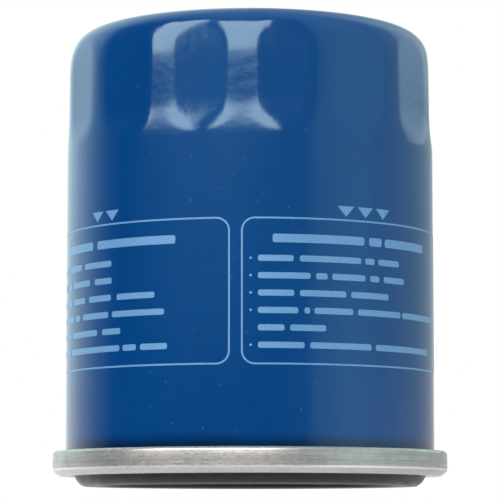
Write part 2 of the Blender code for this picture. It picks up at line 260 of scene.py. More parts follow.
def crisp(mesh, degrees=40.0):
    mesh.set_sharp_from_angle(angle=math.radians(degrees))
    return mesh


def give_thickness(piece, thickness, offset):
    """Sheet thickness: inwards for an offset of -1, half to each side for 0."""
    shell = piece.modifiers.new("Sheet", "SOLIDIFY")
    shell.thickness = thickness * MM
    shell.offset = offset
    shell.use_even_offset = True


# Node building


class Graph:
    """Short calls for filling one node tree."""

    def __init__(self, tree):
        self.tree = tree
        self.tree.nodes.clear()

    def add(self, kind, values=None, **settings):
        node = self.tree.nodes.new(kind)
        for key, value in settings.items():
            setattr(node, key, value)
        for key, value in (values or {}).items():
            self.feed(node.inputs[key], value)
        return node

    def feed(self, socket, value):
        if isinstance(value, bpy.types.NodeSocket):
            self.tree.links.new(value, socket)
        else:
            socket.default_value = value

    def math(self, operation, *values, clamp=False):
        node = self.add("ShaderNodeMath", dict(enumerate(values)), operation=operation)
        node.use_clamp = clamp
        return node.outputs[0]

    def vector(self, operation, *values):
        node = self.add("ShaderNodeVectorMath", dict(enumerate(values)), operation=operation)
        scalar = operation in ("DOT_PRODUCT", "LENGTH", "DISTANCE")
        return node.outputs["Value" if scalar else "Vector"]

    def remap(self, value, low, high, to_low=0.0, to_high=1.0, smooth=True):
        node = self.add("ShaderNodeMapRange", interpolation_type="SMOOTHSTEP" if smooth else "LINEAR")
        for key, number in zip(("Value", "From Min", "From Max"), (value, low, high)):
            self.feed(node.inputs[key], number)
        self.feed(node.inputs["To Min"], to_low)
        self.feed(node.inputs["To Max"], to_high)
        return node.outputs["Result"]

    def mix(self, share, a, b):
        node = self.add("ShaderNodeMix", data_type="RGBA")
        self.feed(node.inputs["Factor"], share)
        self.feed(node.inputs["A"], a if isinstance(a, bpy.types.NodeSocket) else (*a, 1.0))
        self.feed(node.inputs["B"], b if isinstance(b, bpy.types.NodeSocket) else (*b, 1.0))
        return node.outputs["Result"]

    def noise(self, where, scale, detail=3.0, roughness=0.5):
        values = {"Vector": where, "Scale": scale, "Detail": detail, "Roughness": roughness}
        return self.add("ShaderNodeTexNoise", values).outputs["Fac"]

    def voronoi(self, where, scale, output="Distance", **settings):
        node = self.add("ShaderNodeTexVoronoi", {"Vector": where, "Scale": scale}, **settings)
        return node.outputs[output]

    def place(self, stretch=(1.0, 1.0, 1.0)):
        """Position in the CAD frame in millimetres, stretched for grain that has a direction."""
        where = self.add("ShaderNodeTexCoord").outputs["Object"]
        return self.vector("MULTIPLY", where, tuple(share / MM for share in stretch))

    def bump(self, height, strength, distance):
        values = {"Height": height, "Strength": strength, "Distance": distance * MM}
        return self.add("ShaderNodeBump", values).outputs["Normal"]


def finish_material(name, build):
    """A material whose Principled inputs are what build(graph) returns."""
    material = bpy.data.materials.new(name)
    material.use_nodes = True
    graph = Graph(material.node_tree)
    shader = graph.add("ShaderNodeBsdfPrincipled", build(graph))
    output = graph.add("ShaderNodeOutputMaterial")
    graph.feed(output.inputs["Surface"], shader.outputs["BSDF"])
    return material


def blue_paint(g):
    """Glossy stoved enamel: fine orange peel, a few dust specks, faint rub marks, and painted shade just
    above the seam ring.
    """
    where = g.place()
    cloud = g.noise(where, 0.05, 2.0)
    colour = g.mix(g.remap(cloud, 0.3, 0.7), (0.0003, 0.0620, 0.2560), (0.0006, 0.0665, 0.2720))
    cell = g.voronoi(where, 0.42)
    chance = g.voronoi(where, 0.42, "Color")
    seldom = g.math("GREATER_THAN", g.add("ShaderNodeSeparateColor", {"Color": chance}).outputs[0], 0.45)
    speck = g.math("MULTIPLY", g.math("LESS_THAN", cell, 0.06), seldom)
    colour = g.mix(g.math("MULTIPLY", speck, 0.35), colour, (0.10, 0.28, 0.48))
    rub = g.noise(g.place((0.25, 0.25, 3.0)), 0.9, 4.0, 0.65)
    rough = g.remap(rub, 0.35, 0.8, 0.075, 0.13)
    height = g.add("ShaderNodeSeparateXYZ", {"Vector": where}).outputs["Z"]
    # Painted shade: the paint is darkened just above the seam ring, where the ring's top edge shades the
    # wall.
    painted_seam_shade = g.remap(g.math("ADD", height, g.math("MULTIPLY", cloud, 0.8)), 6.5, 9.4, 0.85, 0.0)
    colour = g.mix(painted_seam_shade, colour, (0.0, 0.012, 0.05))
    peel = g.math("ADD", g.noise(where, 0.6, 3.0, 0.45), g.noise(where, 0.16, 2.0, 0.4))
    raised = g.math("ADD", g.math("MULTIPLY", peel, 0.9), g.math("MULTIPLY", speck, 0.6))
    return {
        "Base Color": colour,
        "Roughness": rough,
        "IOR": 1.5,
        "Specular Tint": (0.6, 1.0, 1.0, 1.0),
        "Normal": g.bump(raised, 0.3, 0.05),
    }


def print_ink(g):
    """Pale blue screen print, slightly thin in places."""
    thin = g.noise(g.place(), 3.0, 4.0, 0.7)
    colour = g.mix(g.remap(thin, 0.35, 0.75), (0.17, 0.42, 0.74), (0.11, 0.33, 0.64))
    return {"Base Color": colour, "Roughness": g.remap(thin, 0.3, 0.7, 0.25, 0.4), "IOR": 1.5}


def tin_plate(g):
    """Bare tinned sheet: rolling streaks round the seam, dull stains, small scuffs."""
    streak = g.noise(g.place((0.06, 0.06, 5.0)), 1.0, 6.0, 0.7)
    stain = g.noise(g.place((1.0, 1.0, 1.6)), 0.22, 5.0, 0.65)
    scuff = g.noise(g.place((0.5, 0.5, 2.2)), 1.7, 5.0, 0.75)
    scratch = g.noise(g.place((0.12, 0.12, 7.0)), 2.2, 3.0, 0.6)
    colour = g.mix(g.remap(streak, 0.3, 0.7), (0.36, 0.38, 0.37), (0.50, 0.525, 0.50))
    colour = g.mix(g.remap(stain, 0.42, 0.72, 0.0, 0.6), colour, (0.29, 0.31, 0.30))
    colour = g.mix(g.remap(scuff, 0.6, 0.76, 0.0, 0.5), colour, (0.22, 0.23, 0.22))
    colour = g.mix(g.remap(scratch, 0.68, 0.78, 0.0, 0.45), colour, (0.19, 0.20, 0.19))
    height = g.add("ShaderNodeSeparateXYZ", {"Vector": g.place()}).outputs["Z"]
    groove = g.remap(g.math("ABSOLUTE", g.math("SUBTRACT", height, 4.0)), 0.03, 0.22, 1.0, 0.0)
    groove = g.math("MULTIPLY", groove, g.remap(streak, 0.4, 0.6, 0.1, 0.6))
    colour = g.mix(groove, colour, (0.21, 0.23, 0.22))
    # The rolled lower edge near 2.85 mm and the sheet below it are coloured near white.
    pale_lower_edge = g.remap(g.math("ABSOLUTE", g.math("SUBTRACT", height, 2.85)), 0.1, 0.28, 0.9, 0.0)
    below = g.remap(height, 2.6, 2.9, 0.3, 0.0)
    colour = g.mix(g.math("MAXIMUM", pale_lower_edge, below), colour, (0.90, 0.92, 0.90))
    rough = g.math("ADD", g.remap(scuff, 0.3, 0.7, 0.2, 0.34), g.remap(stain, 0.4, 0.8, 0.0, 0.1))
    raised = g.math("ADD", g.math("MULTIPLY", streak, 0.6), g.math("MULTIPLY", scuff, 0.5))
    return {
        "Base Color": colour,
        "Metallic": 0.45,
        "Roughness": rough,
        "Normal": g.bump(raised, 0.3, 0.04),
    }


def black_rubber(g):
    """Moulded rubber with fine grain, a grey bloom and a painted highlight along the lower edge of the
    sealing face.
    """
    grain = g.noise(g.place(), 6.0, 4.0, 0.6)
    bloom = g.noise(g.place((1.0, 1.0, 2.0)), 0.35, 4.0, 0.6)
    colour = g.mix(g.remap(bloom, 0.4, 0.75, 0.0, 0.5), (0.024, 0.025, 0.024), (0.075, 0.075, 0.072))
    height = g.add("ShaderNodeSeparateXYZ", {"Vector": g.place()}).outputs["Z"]
    # Painted highlight: a pale line at the bottom edge of the sealing face, standing in for light caught
    # there.
    painted_edge_highlight = g.remap(height, 0.12, 0.38, 0.85, 0.0)
    colour = g.mix(painted_edge_highlight, colour, (0.15, 0.152, 0.145))
    return {
        "Base Color": colour,
        "Roughness": g.remap(bloom, 0.3, 0.75, 0.34, 0.55),
        "Specular IOR Level": 0.25,
        "Normal": g.bump(grain, 0.25, 0.03),
    }


def zinc_plate(g):
    """Zinc plated steel with a fine crystalline mottle and turning marks."""
    spangle = g.voronoi(g.place(), 0.8, "Color")
    tone = g.add("ShaderNodeSeparateColor", {"Color": spangle}).outputs[0]
    haze = g.noise(g.place(), 0.3, 5.0, 0.6)
    colour = g.mix(tone, (0.40, 0.41, 0.41), (0.53, 0.54, 0.53))
    colour = g.mix(g.remap(haze, 0.45, 0.75, 0.0, 0.5), colour, (0.34, 0.34, 0.31))
    fine = g.noise(g.place((1.0, 1.0, 6.0)), 2.5, 4.0, 0.6)
    return {
        "Base Color": colour,
        "Metallic": 0.9,
        "Roughness": g.remap(haze, 0.3, 0.7, 0.3, 0.48),
        "Normal": g.bump(fine, 0.3, 0.03),
    }


def drawn_steel(g):
    """Plain pressed steel with drawing lines and a trace of oil."""
    lines = g.noise(g.place((0.15, 0.15, 4.0)), 1.2, 5.0, 0.65)
    film = g.noise(g.place(), 0.18, 4.0, 0.55)
    colour = g.mix(g.remap(lines, 0.3, 0.7), (0.42, 0.42, 0.41), (0.56, 0.55, 0.53))
    colour = g.mix(g.remap(film, 0.45, 0.8, 0.0, 0.45), colour, (0.33, 0.29, 0.22))
    return {
        "Base Color": colour,
        "Metallic": 0.95,
        "Roughness": g.remap(film, 0.3, 0.7, 0.3, 0.45),
        "Normal": g.bump(lines, 0.25, 0.03),
    }


def spring_wire(g):
    """Dark oil tempered wire with drawing scratches."""
    scratch = g.noise(g.place((1.0, 1.0, 1.0)), 3.0, 6.0, 0.75)
    colour = g.mix(g.remap(scratch, 0.4, 0.7), (0.10, 0.10, 0.105), (0.24, 0.23, 0.22))
    return {
        "Base Color": colour,
        "Metallic": 0.9,
        "Roughness": g.remap(scratch, 0.3, 0.7, 0.3, 0.5),
        "Normal": g.bump(scratch, 0.2, 0.02),
    }


def filter_paper(g):
    """Resin treated cellulose: fibres, uneven soak and a fuzzy surface."""
    fibre = g.noise(g.place((1.5, 1.5, 0.5)), 3.5, 6.0, 0.8)
    soak = g.noise(g.place((1.0, 1.0, 0.4)), 0.12, 3.0, 0.5)
    colour = g.mix(g.remap(fibre, 0.3, 0.7), (0.55, 0.42, 0.22), (0.74, 0.61, 0.38))
    colour = g.mix(g.remap(soak, 0.45, 0.75, 0.0, 0.4), colour, (0.50, 0.36, 0.18))
    return {"Base Color": colour, "Roughness": 0.92, "Normal": g.bump(fibre, 0.5, 0.05)}


def cured_adhesive(g):
    """Brick red potting compound with small bubbles."""
    bubble = g.voronoi(g.place(), 0.9)
    cloud = g.noise(g.place(), 0.4, 4.0, 0.6)
    colour = g.mix(g.remap(cloud, 0.3, 0.7), (0.38, 0.15, 0.09), (0.50, 0.22, 0.13))
    pit = g.remap(bubble, 0.05, 0.2)
    return {
        "Base Color": colour,
        "Roughness": g.remap(cloud, 0.3, 0.7, 0.45, 0.62),
        "Normal": g.bump(pit, 0.5, 0.08),
    }


def seam_sealant(g):
    """Grey-tan sealing compound, matt and lumpy."""
    lump = g.noise(g.place(), 2.2, 4.0, 0.6)
    colour = g.mix(g.remap(lump, 0.35, 0.7), (0.26, 0.24, 0.19), (0.38, 0.35, 0.28))
    return {"Base Color": colour, "Roughness": 0.75, "Normal": g.bump(lump, 0.5, 0.06)}


MATERIALS = {
    build.__name__: finish_material(build.__name__, build)
    for build in (
        blue_paint,
        print_ink,
        tin_plate,
        black_rubber,
        zinc_plate,
        drawn_steel,
        spring_wire,
        filter_paper,
        cured_adhesive,
        seam_sealant,
    )
}


# Can


def flute_radius(turn):
    """Radius of a 14-sided section with rounded corners; a corner lies at turn 0."""
    half = math.pi / FLUTES
    away = abs((turn + half) % (2.0 * half) - half)
    off_flat = half - away
    flat_half = (FLUTE_APOTHEM - FLUTE_CORNER_R) * math.tan(half)
    if FLUTE_APOTHEM * math.tan(off_flat) <= flat_half:
        return FLUTE_APOTHEM / math.cos(off_flat)
    corner_centre = (FLUTE_APOTHEM - FLUTE_CORNER_R) / math.cos(half)
    side = corner_centre * math.sin(away)
    return corner_centre * math.cos(away) + math.sqrt(FLUTE_CORNER_R**2 - side**2)


def wall_radius(z):
    """Plain radius of the side wall, which necks in a little below the flutes."""
    return CAN_R - (CAN_R - NECK_R) * smooth_step(z, NECK_START_Z, NECK_END_Z)


def fluted(radius, turn, z):
    """Radius left at a point of the plain can once the flutes are pressed in."""
    if z < NECK_START_Z - 2.0 or radius < FLUTE_FADE_R:
        return radius
    run_out = (max(FLUTE_RUN_Z - z, 0.0) / FLUTE_RUN_LENGTH) ** FLUTE_RUN_POWER
    flute = flute_radius(turn) - (z - FLUTE_LEAN_Z) * FLUTE_LEAN + run_out
    if z > LEAN_START_Z:
        flute -= (NECK_R - radius) * FLUTE_FOLLOW
    softness = FLUTE_BLEND + (FLUTE_RUN_BLEND - FLUTE_BLEND) * min(run_out / 0.8, 1.0)
    pressed = radius - smooth_min(radius, flute, softness)
    return radius - pressed * smooth_step(radius, FLUTE_FADE_R, FLUTE_FULL_R)


def shoulder_points(steps):
    """The wall's lean from the foot of the shoulder fillet down to the straight neck."""
    angle = math.radians(FILLET_FOOT)
    foot_r = FILLET_CENTRE_R + FILLET_R * math.cos(angle)
    foot_z = FILLET_CENTRE_Z + FILLET_R * math.sin(angle)
    drop = NECK_R - foot_r
    span = foot_z - LEAN_START_Z
    power = math.tan(angle) * span / drop
    points = []
    for step in range(1, steps + 1):
        share = 1.0 - step / steps
        points.append((NECK_R - drop * share**power, LEAN_START_Z + span * share))
    return points


def can_outline():
    """From the middle of the closed end, down the wall, to the end of the seam hook."""
    crown = [(0.0, DOME_TOP), (6.0, DOME_TOP), (FLAT_R, DOME_TOP)]
    crown += arc(CROWN_CENTRE_R, DOME_TOP - CROWN_R, CROWN_R, 90, 83, 3)
    crown += [(radius, DOME_TOP - drop) for radius, drop in CROWN_DROPS]
    fillet = arc(FILLET_CENTRE_R, FILLET_CENTRE_Z, FILLET_R, FILLET_TOP, FILLET_FOOT, 18)
    necking = heights(LEAN_START_Z - WALL_STEP, NECK_START_Z - 3.0, WALL_STEP)
    wall = [(wall_radius(z), z) for z in necking]
    wall += [(CAN_R, z) for z in heights(NECK_START_Z - 7.0, WALL_FOOT, 6.0)]
    hook = arc(CAN_R + HOOK_BEND, HOOK_Z, HOOK_BEND, 180, 360, 8)
    hook.append((CAN_R + 2.0 * HOOK_BEND, HOOK_TOP))
    return crown + fillet + shoulder_points(18) + wall + hook


def make_can():
    mesh = revolved("can_shell", can_outline(), COLUMNS, closed=False, reshape=fluted)
    piece = mesh_piece("can_shell", "housing", mesh, MATERIALS["blue_paint"], "can")
    give_thickness(piece, CAN_SHEET, -1.0)


# Print


def on_can(along, height, lift):
    """A point on the wall: along is the distance round it from the front, towards +X."""
    angle = along / CAN_R
    reach = (CAN_R + lift) * MM
    return (reach * math.sin(angle), -reach * math.cos(angle), height * MM)


def ink_strip(shape, pairs, loop=False):
    """A closed thin layer of ink between two edge lines, each a list of (along, height)."""
    rows = []
    for first, second in pairs:
        corners = [(first, INK_LIFT), (second, INK_LIFT), (second, -INK_ROOT), (first, -INK_ROOT)]
        rows.append([shape.verts.new(on_can(*point, lift)) for point, lift in corners])
    steps = list(zip(rows, rows[1:]))
    if loop:
        steps.append((rows[-1], rows[0]))
    for here, there in steps:
        for side in range(4):
            after = (side + 1) % 4
            shape.faces.new((here[side], there[side], there[after], here[after]))
    if not loop:
        shape.faces.new(rows[0])
        shape.faces.new(reversed(rows[-1]))


def ink_bar(shape, start, end, low, high):
    """A plain bar with slightly rounded ends."""
    middle = (low + high) / 2.0
    half = (high - low) / 2.0
    rounding = min(0.35, half, (end - start) / 2.0)
    pairs = []
    spots = [rounding * share for share in (0.0, 0.3, 1.0)]
    inner = list(reversed(heights(end - rounding, start + rounding, 0.8)))[1:-1]
    places = [start + spot for spot in spots] + inner + [end - spot for spot in reversed(spots)]
    for along in places:
        edge = max(rounding - min(along - start, end - along), 0.0)
        reach = half - rounding + math.sqrt(max(rounding**2 - edge**2, 0.0))
        reach = max(reach, half * 0.5)
        pairs.append(((along, middle - reach), (along, middle + reach)))
    ink_strip(shape, pairs)


def ink_frame(shape, start, end, low, high):
    """The outline of a rounded panel."""
    corners = (
        (end - PANEL_CORNER_R, high - PANEL_CORNER_R, 90),
        (start + PANEL_CORNER_R, high - PANEL_CORNER_R, 180),
        (start + PANEL_CORNER_R, low + PANEL_CORNER_R, 270),
        (end - PANEL_CORNER_R, low + PANEL_CORNER_R, 360),
    )
    pairs = []
    for along, height, last in corners:
        for step in range(11):
            angle = math.radians(last - 90 + 9 * step)
            reach = Vector((math.cos(angle), math.sin(angle)))
            centre = Vector((along, height))
            inner = centre + reach * (PANEL_CORNER_R - LINE_WIDTH / 2.0)
            outer = centre + reach * (PANEL_CORNER_R + LINE_WIDTH / 2.0)
            pairs.append((tuple(outer), tuple(inner)))
        if last in (90, 270):
            run = (end - start - 2.0 * PANEL_CORNER_R) * (-1 if last == 90 else 1)
            for step in range(1, 40):
                shift = run * step / 40
                pairs.append(((outer.x + shift, outer.y), (inner.x + shift, inner.y)))
    ink_strip(shape, pairs, loop=True)


def ink_triangle(shape, middle, low, width, height):
    """A plain arrow head that points down."""
    half = width / 2.0
    pairs = []
    for step in range(7):
        offset = half * (step / 3.0 - 1.0)
        bottom = low + height * abs(offset) / half
        top = low + height + 0.04
        pairs.append(((middle + offset, min(bottom, top - 0.04)), (middle + offset, top)))
    ink_strip(shape, pairs)


def ink_piece(name, draw):
    shape = bmesh.new()
    draw(shape)
    bmesh.ops.recalc_face_normals(shape, faces=shape.faces)
    mesh = bpy.data.meshes.new(name)
    shape.to_mesh(mesh)
    shape.free()
    piece = mesh_piece(name, "housing", mesh, MATERIALS["print_ink"])
    return piece


# Bars that stand for the words of each row: start and end in millimetres from the left
# edge of their panel. The two kinds of panel alternate round the can.
ROWS_A = (
    ((5.2, 22.3), (23.4, 26.3), (27.1, 39.8)),
    ((2.7, 8.8), (9.9, 21.6), (22.5, 24.6), (25.5, 30.9)),
    ((2.7, 11.8), (12.8, 14.9), (15.8, 22.5), (23.6, 25.7), (26.8, 32.4)),
    ((2.7, 8.9), (9.9, 18.5), (19.5, 28.0)),
    ((2.7, 9.6), (10.7, 11.7), (12.5, 19.9), (20.9, 31.3), (31.9, 45.4)),
    ((2.7, 7.2), (8.2, 14.6)),
    ((2.7, 10.7), (11.7, 23.8), (24.8, 42.1)),
)
ROWS_B = (
    ((9.4, 21.1), (22.5, 40.2)),
    ((2.7, 9.5), (10.5, 16.9), (18.2, 26.5)),
    ((2.7, 8.0), (9.0, 11.8), (12.8, 20.1), (21.7, 26.6)),
    ((2.7, 12.0), (13.0, 18.3), (19.8, 26.4), (27.9, 36.2)),
    ((2.7, 13.2), (14.2, 16.2), (17.5, 25.7), (26.7, 38.1)),
    ((2.7, 11.5), (12.5, 22.5), (24.0, 28.8)),
    ((2.7, 10.9), (11.9, 28.6), (29.4, 32.4), (33.3, 38.7)),
)
ROW_PITCH = 2.94
FIRST_ROW = 37.95
TITLE_ROW = 41.35
BAR_HEIGHT = 1.05
TITLE_HEIGHT = 1.45


def panel_start(index):
    """Left edge of a panel, as a distance round the wall from the front."""
    return PANEL_START + index * math.tau * CAN_R / PANELS


def panel_end(index):
    return panel_start(index + 1) - PANEL_GAP


def draw_frames(shape):
    for index in range(PANELS):
        ink_frame(shape, panel_start(index), panel_end(index), PANEL_BOTTOM, PANEL_TOP)


def draw_rows(shape):
    for index in range(PANELS):
        edge = panel_start(index)
        for row, words in enumerate(ROWS_A if index % 2 == 0 else ROWS_B):
            half = (BAR_HEIGHT if row else TITLE_HEIGHT) / 2.0
            middle = FIRST_ROW - ROW_PITCH * (row - 1) if row else TITLE_ROW
            for start, end in words:
                ink_bar(shape, edge + start, edge + end, middle - half, middle + half)


def draw_bullets(shape):
    for index in range(0, PANELS, 2):
        for row in BULLET_ROWS:
            middle = FIRST_ROW - ROW_PITCH * row
            place = panel_start(index) + BULLET_PLACE
            low = middle - BULLET_HALF_HEIGHT
            ink_bar(shape, place, place + BULLET_WIDTH, low, middle + BULLET_HALF_HEIGHT)


def draw_triangles(shape):
    """One to four arrow heads above each panel, as for fractions of a turn."""
    for index, count in enumerate(TRIANGLE_COUNTS):
        shift = TRIPLE_SHIFT if count == 3 else 0.0
        middle = (panel_start(index) + panel_end(index)) / 2.0 - shift
        for mark in range(count):
            offset = (mark - (count - 1) / 2.0) * TRIANGLE_PITCH
            place = middle + offset - TRIANGLE_SHIFT
            ink_triangle(shape, place, TRIANGLE_LOW, TRIANGLE_WIDTH, TRIANGLE_HEIGHT)


# Lid, seam and gasket


def make_seam_ring():
    """The lid from its inner lip, over the groove wall, to the seam rolled round the can."""
    lip = [(LIP_R, LIP_Z), (LIP_R, LIP_Z + 0.7)]
    lip += arc(LIP_R + GROOVE_BEND, GROOVE_TOP, GROOVE_BEND, 180, 90, 6)
    chuck_wall = arc(GROOVE_R - GROOVE_BEND, GROOVE_TOP, GROOVE_BEND, 90, 0, 6)
    bend = SKIRT_START_BEND
    chuck_wall += arc(GROOVE_R + bend, SKIRT_Z + bend, bend, 180, 270, 6)
    rolled_wall = [(SKIRT_R - 0.4, SKIRT_Z)]
    rolled_wall += arc(SKIRT_R, SKIRT_Z + SKIRT_BEND, SKIRT_BEND, 270, 318, 3)
    rolled_wall += arc(SEAM_WALL_R - EDGE_BEND, EDGE_Z, EDGE_BEND, 318, 360, 3)
    rolled_wall += [(SEAM_WALL_R, EDGE_Z + 0.45), (SEAM_WALL_R, EDGE_Z + 0.95)]
    for step in range(1, 8):
        rise = SEAM_LEAN_STEP * step
        inward = rise**2 / 2.0 / SEAM_LEAN_R
        rolled_wall.append((SEAM_WALL_R - inward, SEAM_TOP - SEAM_LEAN_HEIGHT + rise))
    bend_z = SEAM_TOP - SEAM_BEND
    fold_out = arc(SEAM_WALL_R - SEAM_BEND - 0.035, bend_z, SEAM_BEND, 6, 90, 6)
    fold_in = arc(SEAM_WALL_R - SEAM_HOOK_IN + SEAM_BEND, bend_z, SEAM_BEND, 90, 180, 6)
    hook_r = SEAM_WALL_R - SEAM_HOOK_IN
    cover_hook = [(hook_r, GROOVE_TOP), (hook_r, GROOVE_TOP - 1.0)]
    outline = lip + chuck_wall + rolled_wall + fold_out + fold_in + cover_hook
    mesh = revolved("seam_ring", outline, COLUMNS, closed=False)
    piece = mesh_piece("seam_ring", "housing", mesh, MATERIALS["tin_plate"], "seam_lid")
    give_thickness(piece, LID_SHEET, 0.0)


def make_gasket():
    """Rubber ring that swells a little below the lid's groove and tapers to its sealing face."""
    edge = GASKET_EDGE
    outer = arc(GASKET_R - edge, GASKET_TOP - edge, edge, 90, 0, 4) + [(GASKET_R, 3.3)]
    outer += arc(GASKET_R - 0.05, GASKET_SWELL_Z, GASKET_SWELL_R, 50, -12, 8)
    toe = arc(*GASKET_TOE_CENTRE, GASKET_TOE_R, -17, -62, 10)
    face = arc(GASKET_FACE_R, GASKET_FACE_EDGE, GASKET_FACE_EDGE, -30, -90, 3)
    face += [(28.9, 0.0), (27.7, 0.0)]
    edge = GASKET_INNER_EDGE
    inner = arc(GASKET_INNER_R + edge, edge, edge, 270, 180, 5)
    inner += [(GASKET_INNER_R, GASKET_TOP - 0.3), (GASKET_INNER_R + 0.3, GASKET_TOP)]
    mesh = crisp(revolved("gasket_ring", outer + toe + face + inner, COLUMNS))
    piece = mesh_piece("gasket_ring", "housing", mesh, MATERIALS["black_rubber"], "mounting_gasket")


# Springs


def coil_mesh(name, radius, wire_r, low, high, turns):
    """Coiled wire between two heights, with both end turns eased down flat."""
    count = int(turns * COIL_STEPS)
    verts = []
    for index in range(count + 1):
        turn = index / COIL_STEPS
        share = min(max((turn - COIL_FLAT) / (turns - 2.0 * COIL_FLAT), 0.0), 1.0)
        share = (share + smooth_step(share, 0.0, 1.0)) / 2.0
        height = low + wire_r + (high - low - 2.0 * wire_r) * share
        angle = math.tau * turn
        for side in range(WIRE_SIDES):
            around = math.tau * side / WIRE_SIDES
            reach = (radius + wire_r * math.cos(around)) * MM
            rise = (height + wire_r * math.sin(around)) * MM
            verts.append((reach * math.cos(angle), reach * math.sin(angle), rise))
    faces = [tuple(range(WIRE_SIDES)), tuple(reversed(range(count * WIRE_SIDES, len(verts))))]
    for index in range(count):
        here = index * WIRE_SIDES
        for side in range(WIRE_SIDES):
            after = (side + 1) % WIRE_SIDES
            first, second = here + side, here + after
            faces.append((first, first + WIRE_SIDES, second + WIRE_SIDES, second))
    mesh = bpy.data.meshes.new(name)
    mesh.from_pydata(verts, [], faces)
    mesh.shade_smooth()
    return crisp(mesh, 60.0)


def make_spring(name, node, body, joint, radius, wire_r, turns, travel, fixed_end):
    """A finer coil that takes the place of a CAD spring."""
    low = low_of(node)
    high = high_of(node)
    mesh = coil_mesh(name, radius, wire_r, low, high, turns)
    piece = mesh_piece(name, body, mesh, MATERIALS["spring_wire"], node)
    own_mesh(piece)


# Parts that keep their CAD shape


CAD_FINISHES = {
    "seam_compound": "seam_sealant",
    "base_plate": "zinc_plate",
    "anti_drain_valve": "black_rubber",
    "element_seal": "black_rubber",
    "lower_end_cap": "drawn_steel",
    "upper_end_cap": "drawn_steel",
    "center_tube": "drawn_steel",
    "media_seam_clip": "drawn_steel",
    "lower_adhesive": "cured_adhesive",
    "upper_adhesive": "cured_adhesive",
    "pleated_media": "filter_paper",
    "bypass_cage": "drawn_steel",
    "bypass_seal": "black_rubber",
    "bypass_poppet": "drawn_steel",
    "spring_seat": "drawn_steel",
}


def finish_cad_nodes():
    for node, finish in CAD_FINISHES.items():
        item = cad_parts[node]
        item.data.materials.clear()
        item.data.materials.append(MATERIALS[finish])


# Floor, light and camera

# In metres. The floor lies just under the gasket's face, so the two never share a plane.
FLOOR_RADIUS = 3.0
FLOOR_Z = -0.00005


def make_floor():
    """A pale floor that is seen from above only, so a low camera looks past it."""
    mesh = bpy.data.meshes.new("floor")
    shape = bmesh.new()
    bmesh.ops.create_circle(shape, cap_ends=True, segments=96, radius=FLOOR_RADIUS)
    shape.to_mesh(mesh)
    shape.free()
    floor = bpy.data.objects.new("floor", mesh)
    floor.location.z = FLOOR_Z
    bpy.context.scene.collection.objects.link(floor)
    material = bpy.data.materials.new("pale_floor")
    material.use_nodes = True
    g = Graph(material.node_tree)
    cloud = g.noise(g.place(), 0.004, 2.0)
    colour = g.mix(cloud, (0.86, 0.86, 0.86), (0.90, 0.90, 0.90))
    matt = g.add("ShaderNodeBsdfPrincipled", {"Base Color": colour, "Roughness": 0.85})
    clear = g.add("ShaderNodeBsdfTransparent")
    behind = g.add("ShaderNodeNewGeometry").outputs["Backfacing"]
    values = {0: behind, 1: matt.outputs[0], 2: clear.outputs[0]}
    both = g.add("ShaderNodeMixShader", values)
    g.add("ShaderNodeOutputMaterial", {"Surface": both.outputs[0]})
    mesh.materials.append(material)
    floor.visible_glossy = False
    floor.visible_diffuse = False


# Brightness mirrored near the horizon, by direction round the filter: 0 degrees is towards
# the camera, positive to its right. The low and the raised values differ a little.
ROOM_LOW = (
    (-180, 1.0),
    (-156, 1.12),
    (-141, 1.24),
    (-130, 1.06),
    (-119, 0.86),
    (-110, 0.53),
    (-104, 0.38),
    (-94, 0.05),
    (-60, 0.03),
    (12, 0.03),
    (34, 0.18),
    (42, 0.74),
    (60, 1.18),
    (74, 1.12),
    (85, 0.9),
    (110, 0.78),
    (122, 0.68),
    (162, 0.67),
    (180, 0.8),
)
ROOM_HIGH = (
    (-180, 1.0),
    (-163, 1.23),
    (-142, 1.5),
    (-126, 1.36),
    (-116, 0.98),
    (-107, 0.56),
    (-95, 0.18),
    (-84, 0.04),
    (-65, 0.23),
    (-41, 0.56),
    (-10, 0.56),
    (12, 0.34),
    (34, 0.34),
    (42, 0.78),
    (60, 1.0),
    (78, 1.0),
    (86, 0.82),
    (120, 0.72),
    (153, 0.63),
    (180, 0.8),
)

# The brightest value the two curves can hold
ROOM_TOP = 2.0

# Softboxes: brightness, left and right edges and the dark gap between them in degrees round
# the filter, and the elevations over which they fade in and out
SOFTBOX_LIGHT = 7.3
SOFTBOX_EDGES = (-70.0, 18.5)
SOFTBOX_GAP = -30.3
SOFTBOX_GAP_HALF = 4.3
SOFTBOX_FADE = 1.5
SOFTBOX_GAP_FADE = 2.5
SOFTBOX_HEIGHTS = (9.1, 15.4, 50.5, 54.5)

# Brightness of the rest of the room, and the red share of the two light colours
CEILING_LIGHT = 0.85
SIDE_LIGHT = 0.7
FLOOR_LIGHT = 1.05
FLOOR_SHADE = 0.3
SOFTBOX_RED = 1.24
WALL_RED = 0.8

# Where one part of the room fades into the next, in degrees: round the filter for the side
# light's four turns, and above the horizon for the rest
SIDE_TURNS = (112.0, 124.0, 136.0, 165.0)
SIDE_LIFTS = (8.2, 9.6)
WALL_LIFTS = (1.0, 8.5)
WALL_RED_LIFTS = (1.6, 4.5)
CEILING_LIFTS = (40.0, 84.0)
HORIZON_LIFTS = (-4.0, 0.0)
FLOOR_LIFTS = (-60.0, -25.0)

# Light on matt surfaces: a base level, what facing each way adds, and the least there is
MATT_BASE = 0.586
MATT_FRONT = 0.41
MATT_RIGHT = -0.19
MATT_ABOVE = 0.39
MATT_LEAST = 0.05


def curve(g, value, points):
    """A broken line through points of (degrees, value)."""
    node = g.add("ShaderNodeFloatCurve", {"Value": g.remap(value, -180, 180, smooth=False)})
    line = node.mapping.curves[0]
    places = [((angle + 180) / 360, level / ROOM_TOP) for angle, level in points]
    for place in places[1:-1]:
        line.points.new(*place)
    line.points[0].location = places[0]
    line.points[-1].location = places[-1]
    for point in line.points:
        point.handle_type = "VECTOR"
    node.mapping.update()
    return g.math("MULTIPLY", node.outputs[0], ROOM_TOP)


def blend(g, share, a, b):
    kept = g.math("MULTIPLY", g.math("SUBTRACT", 1.0, share), a)
    return g.math("ADD", kept, g.math("MULTIPLY", share, b))


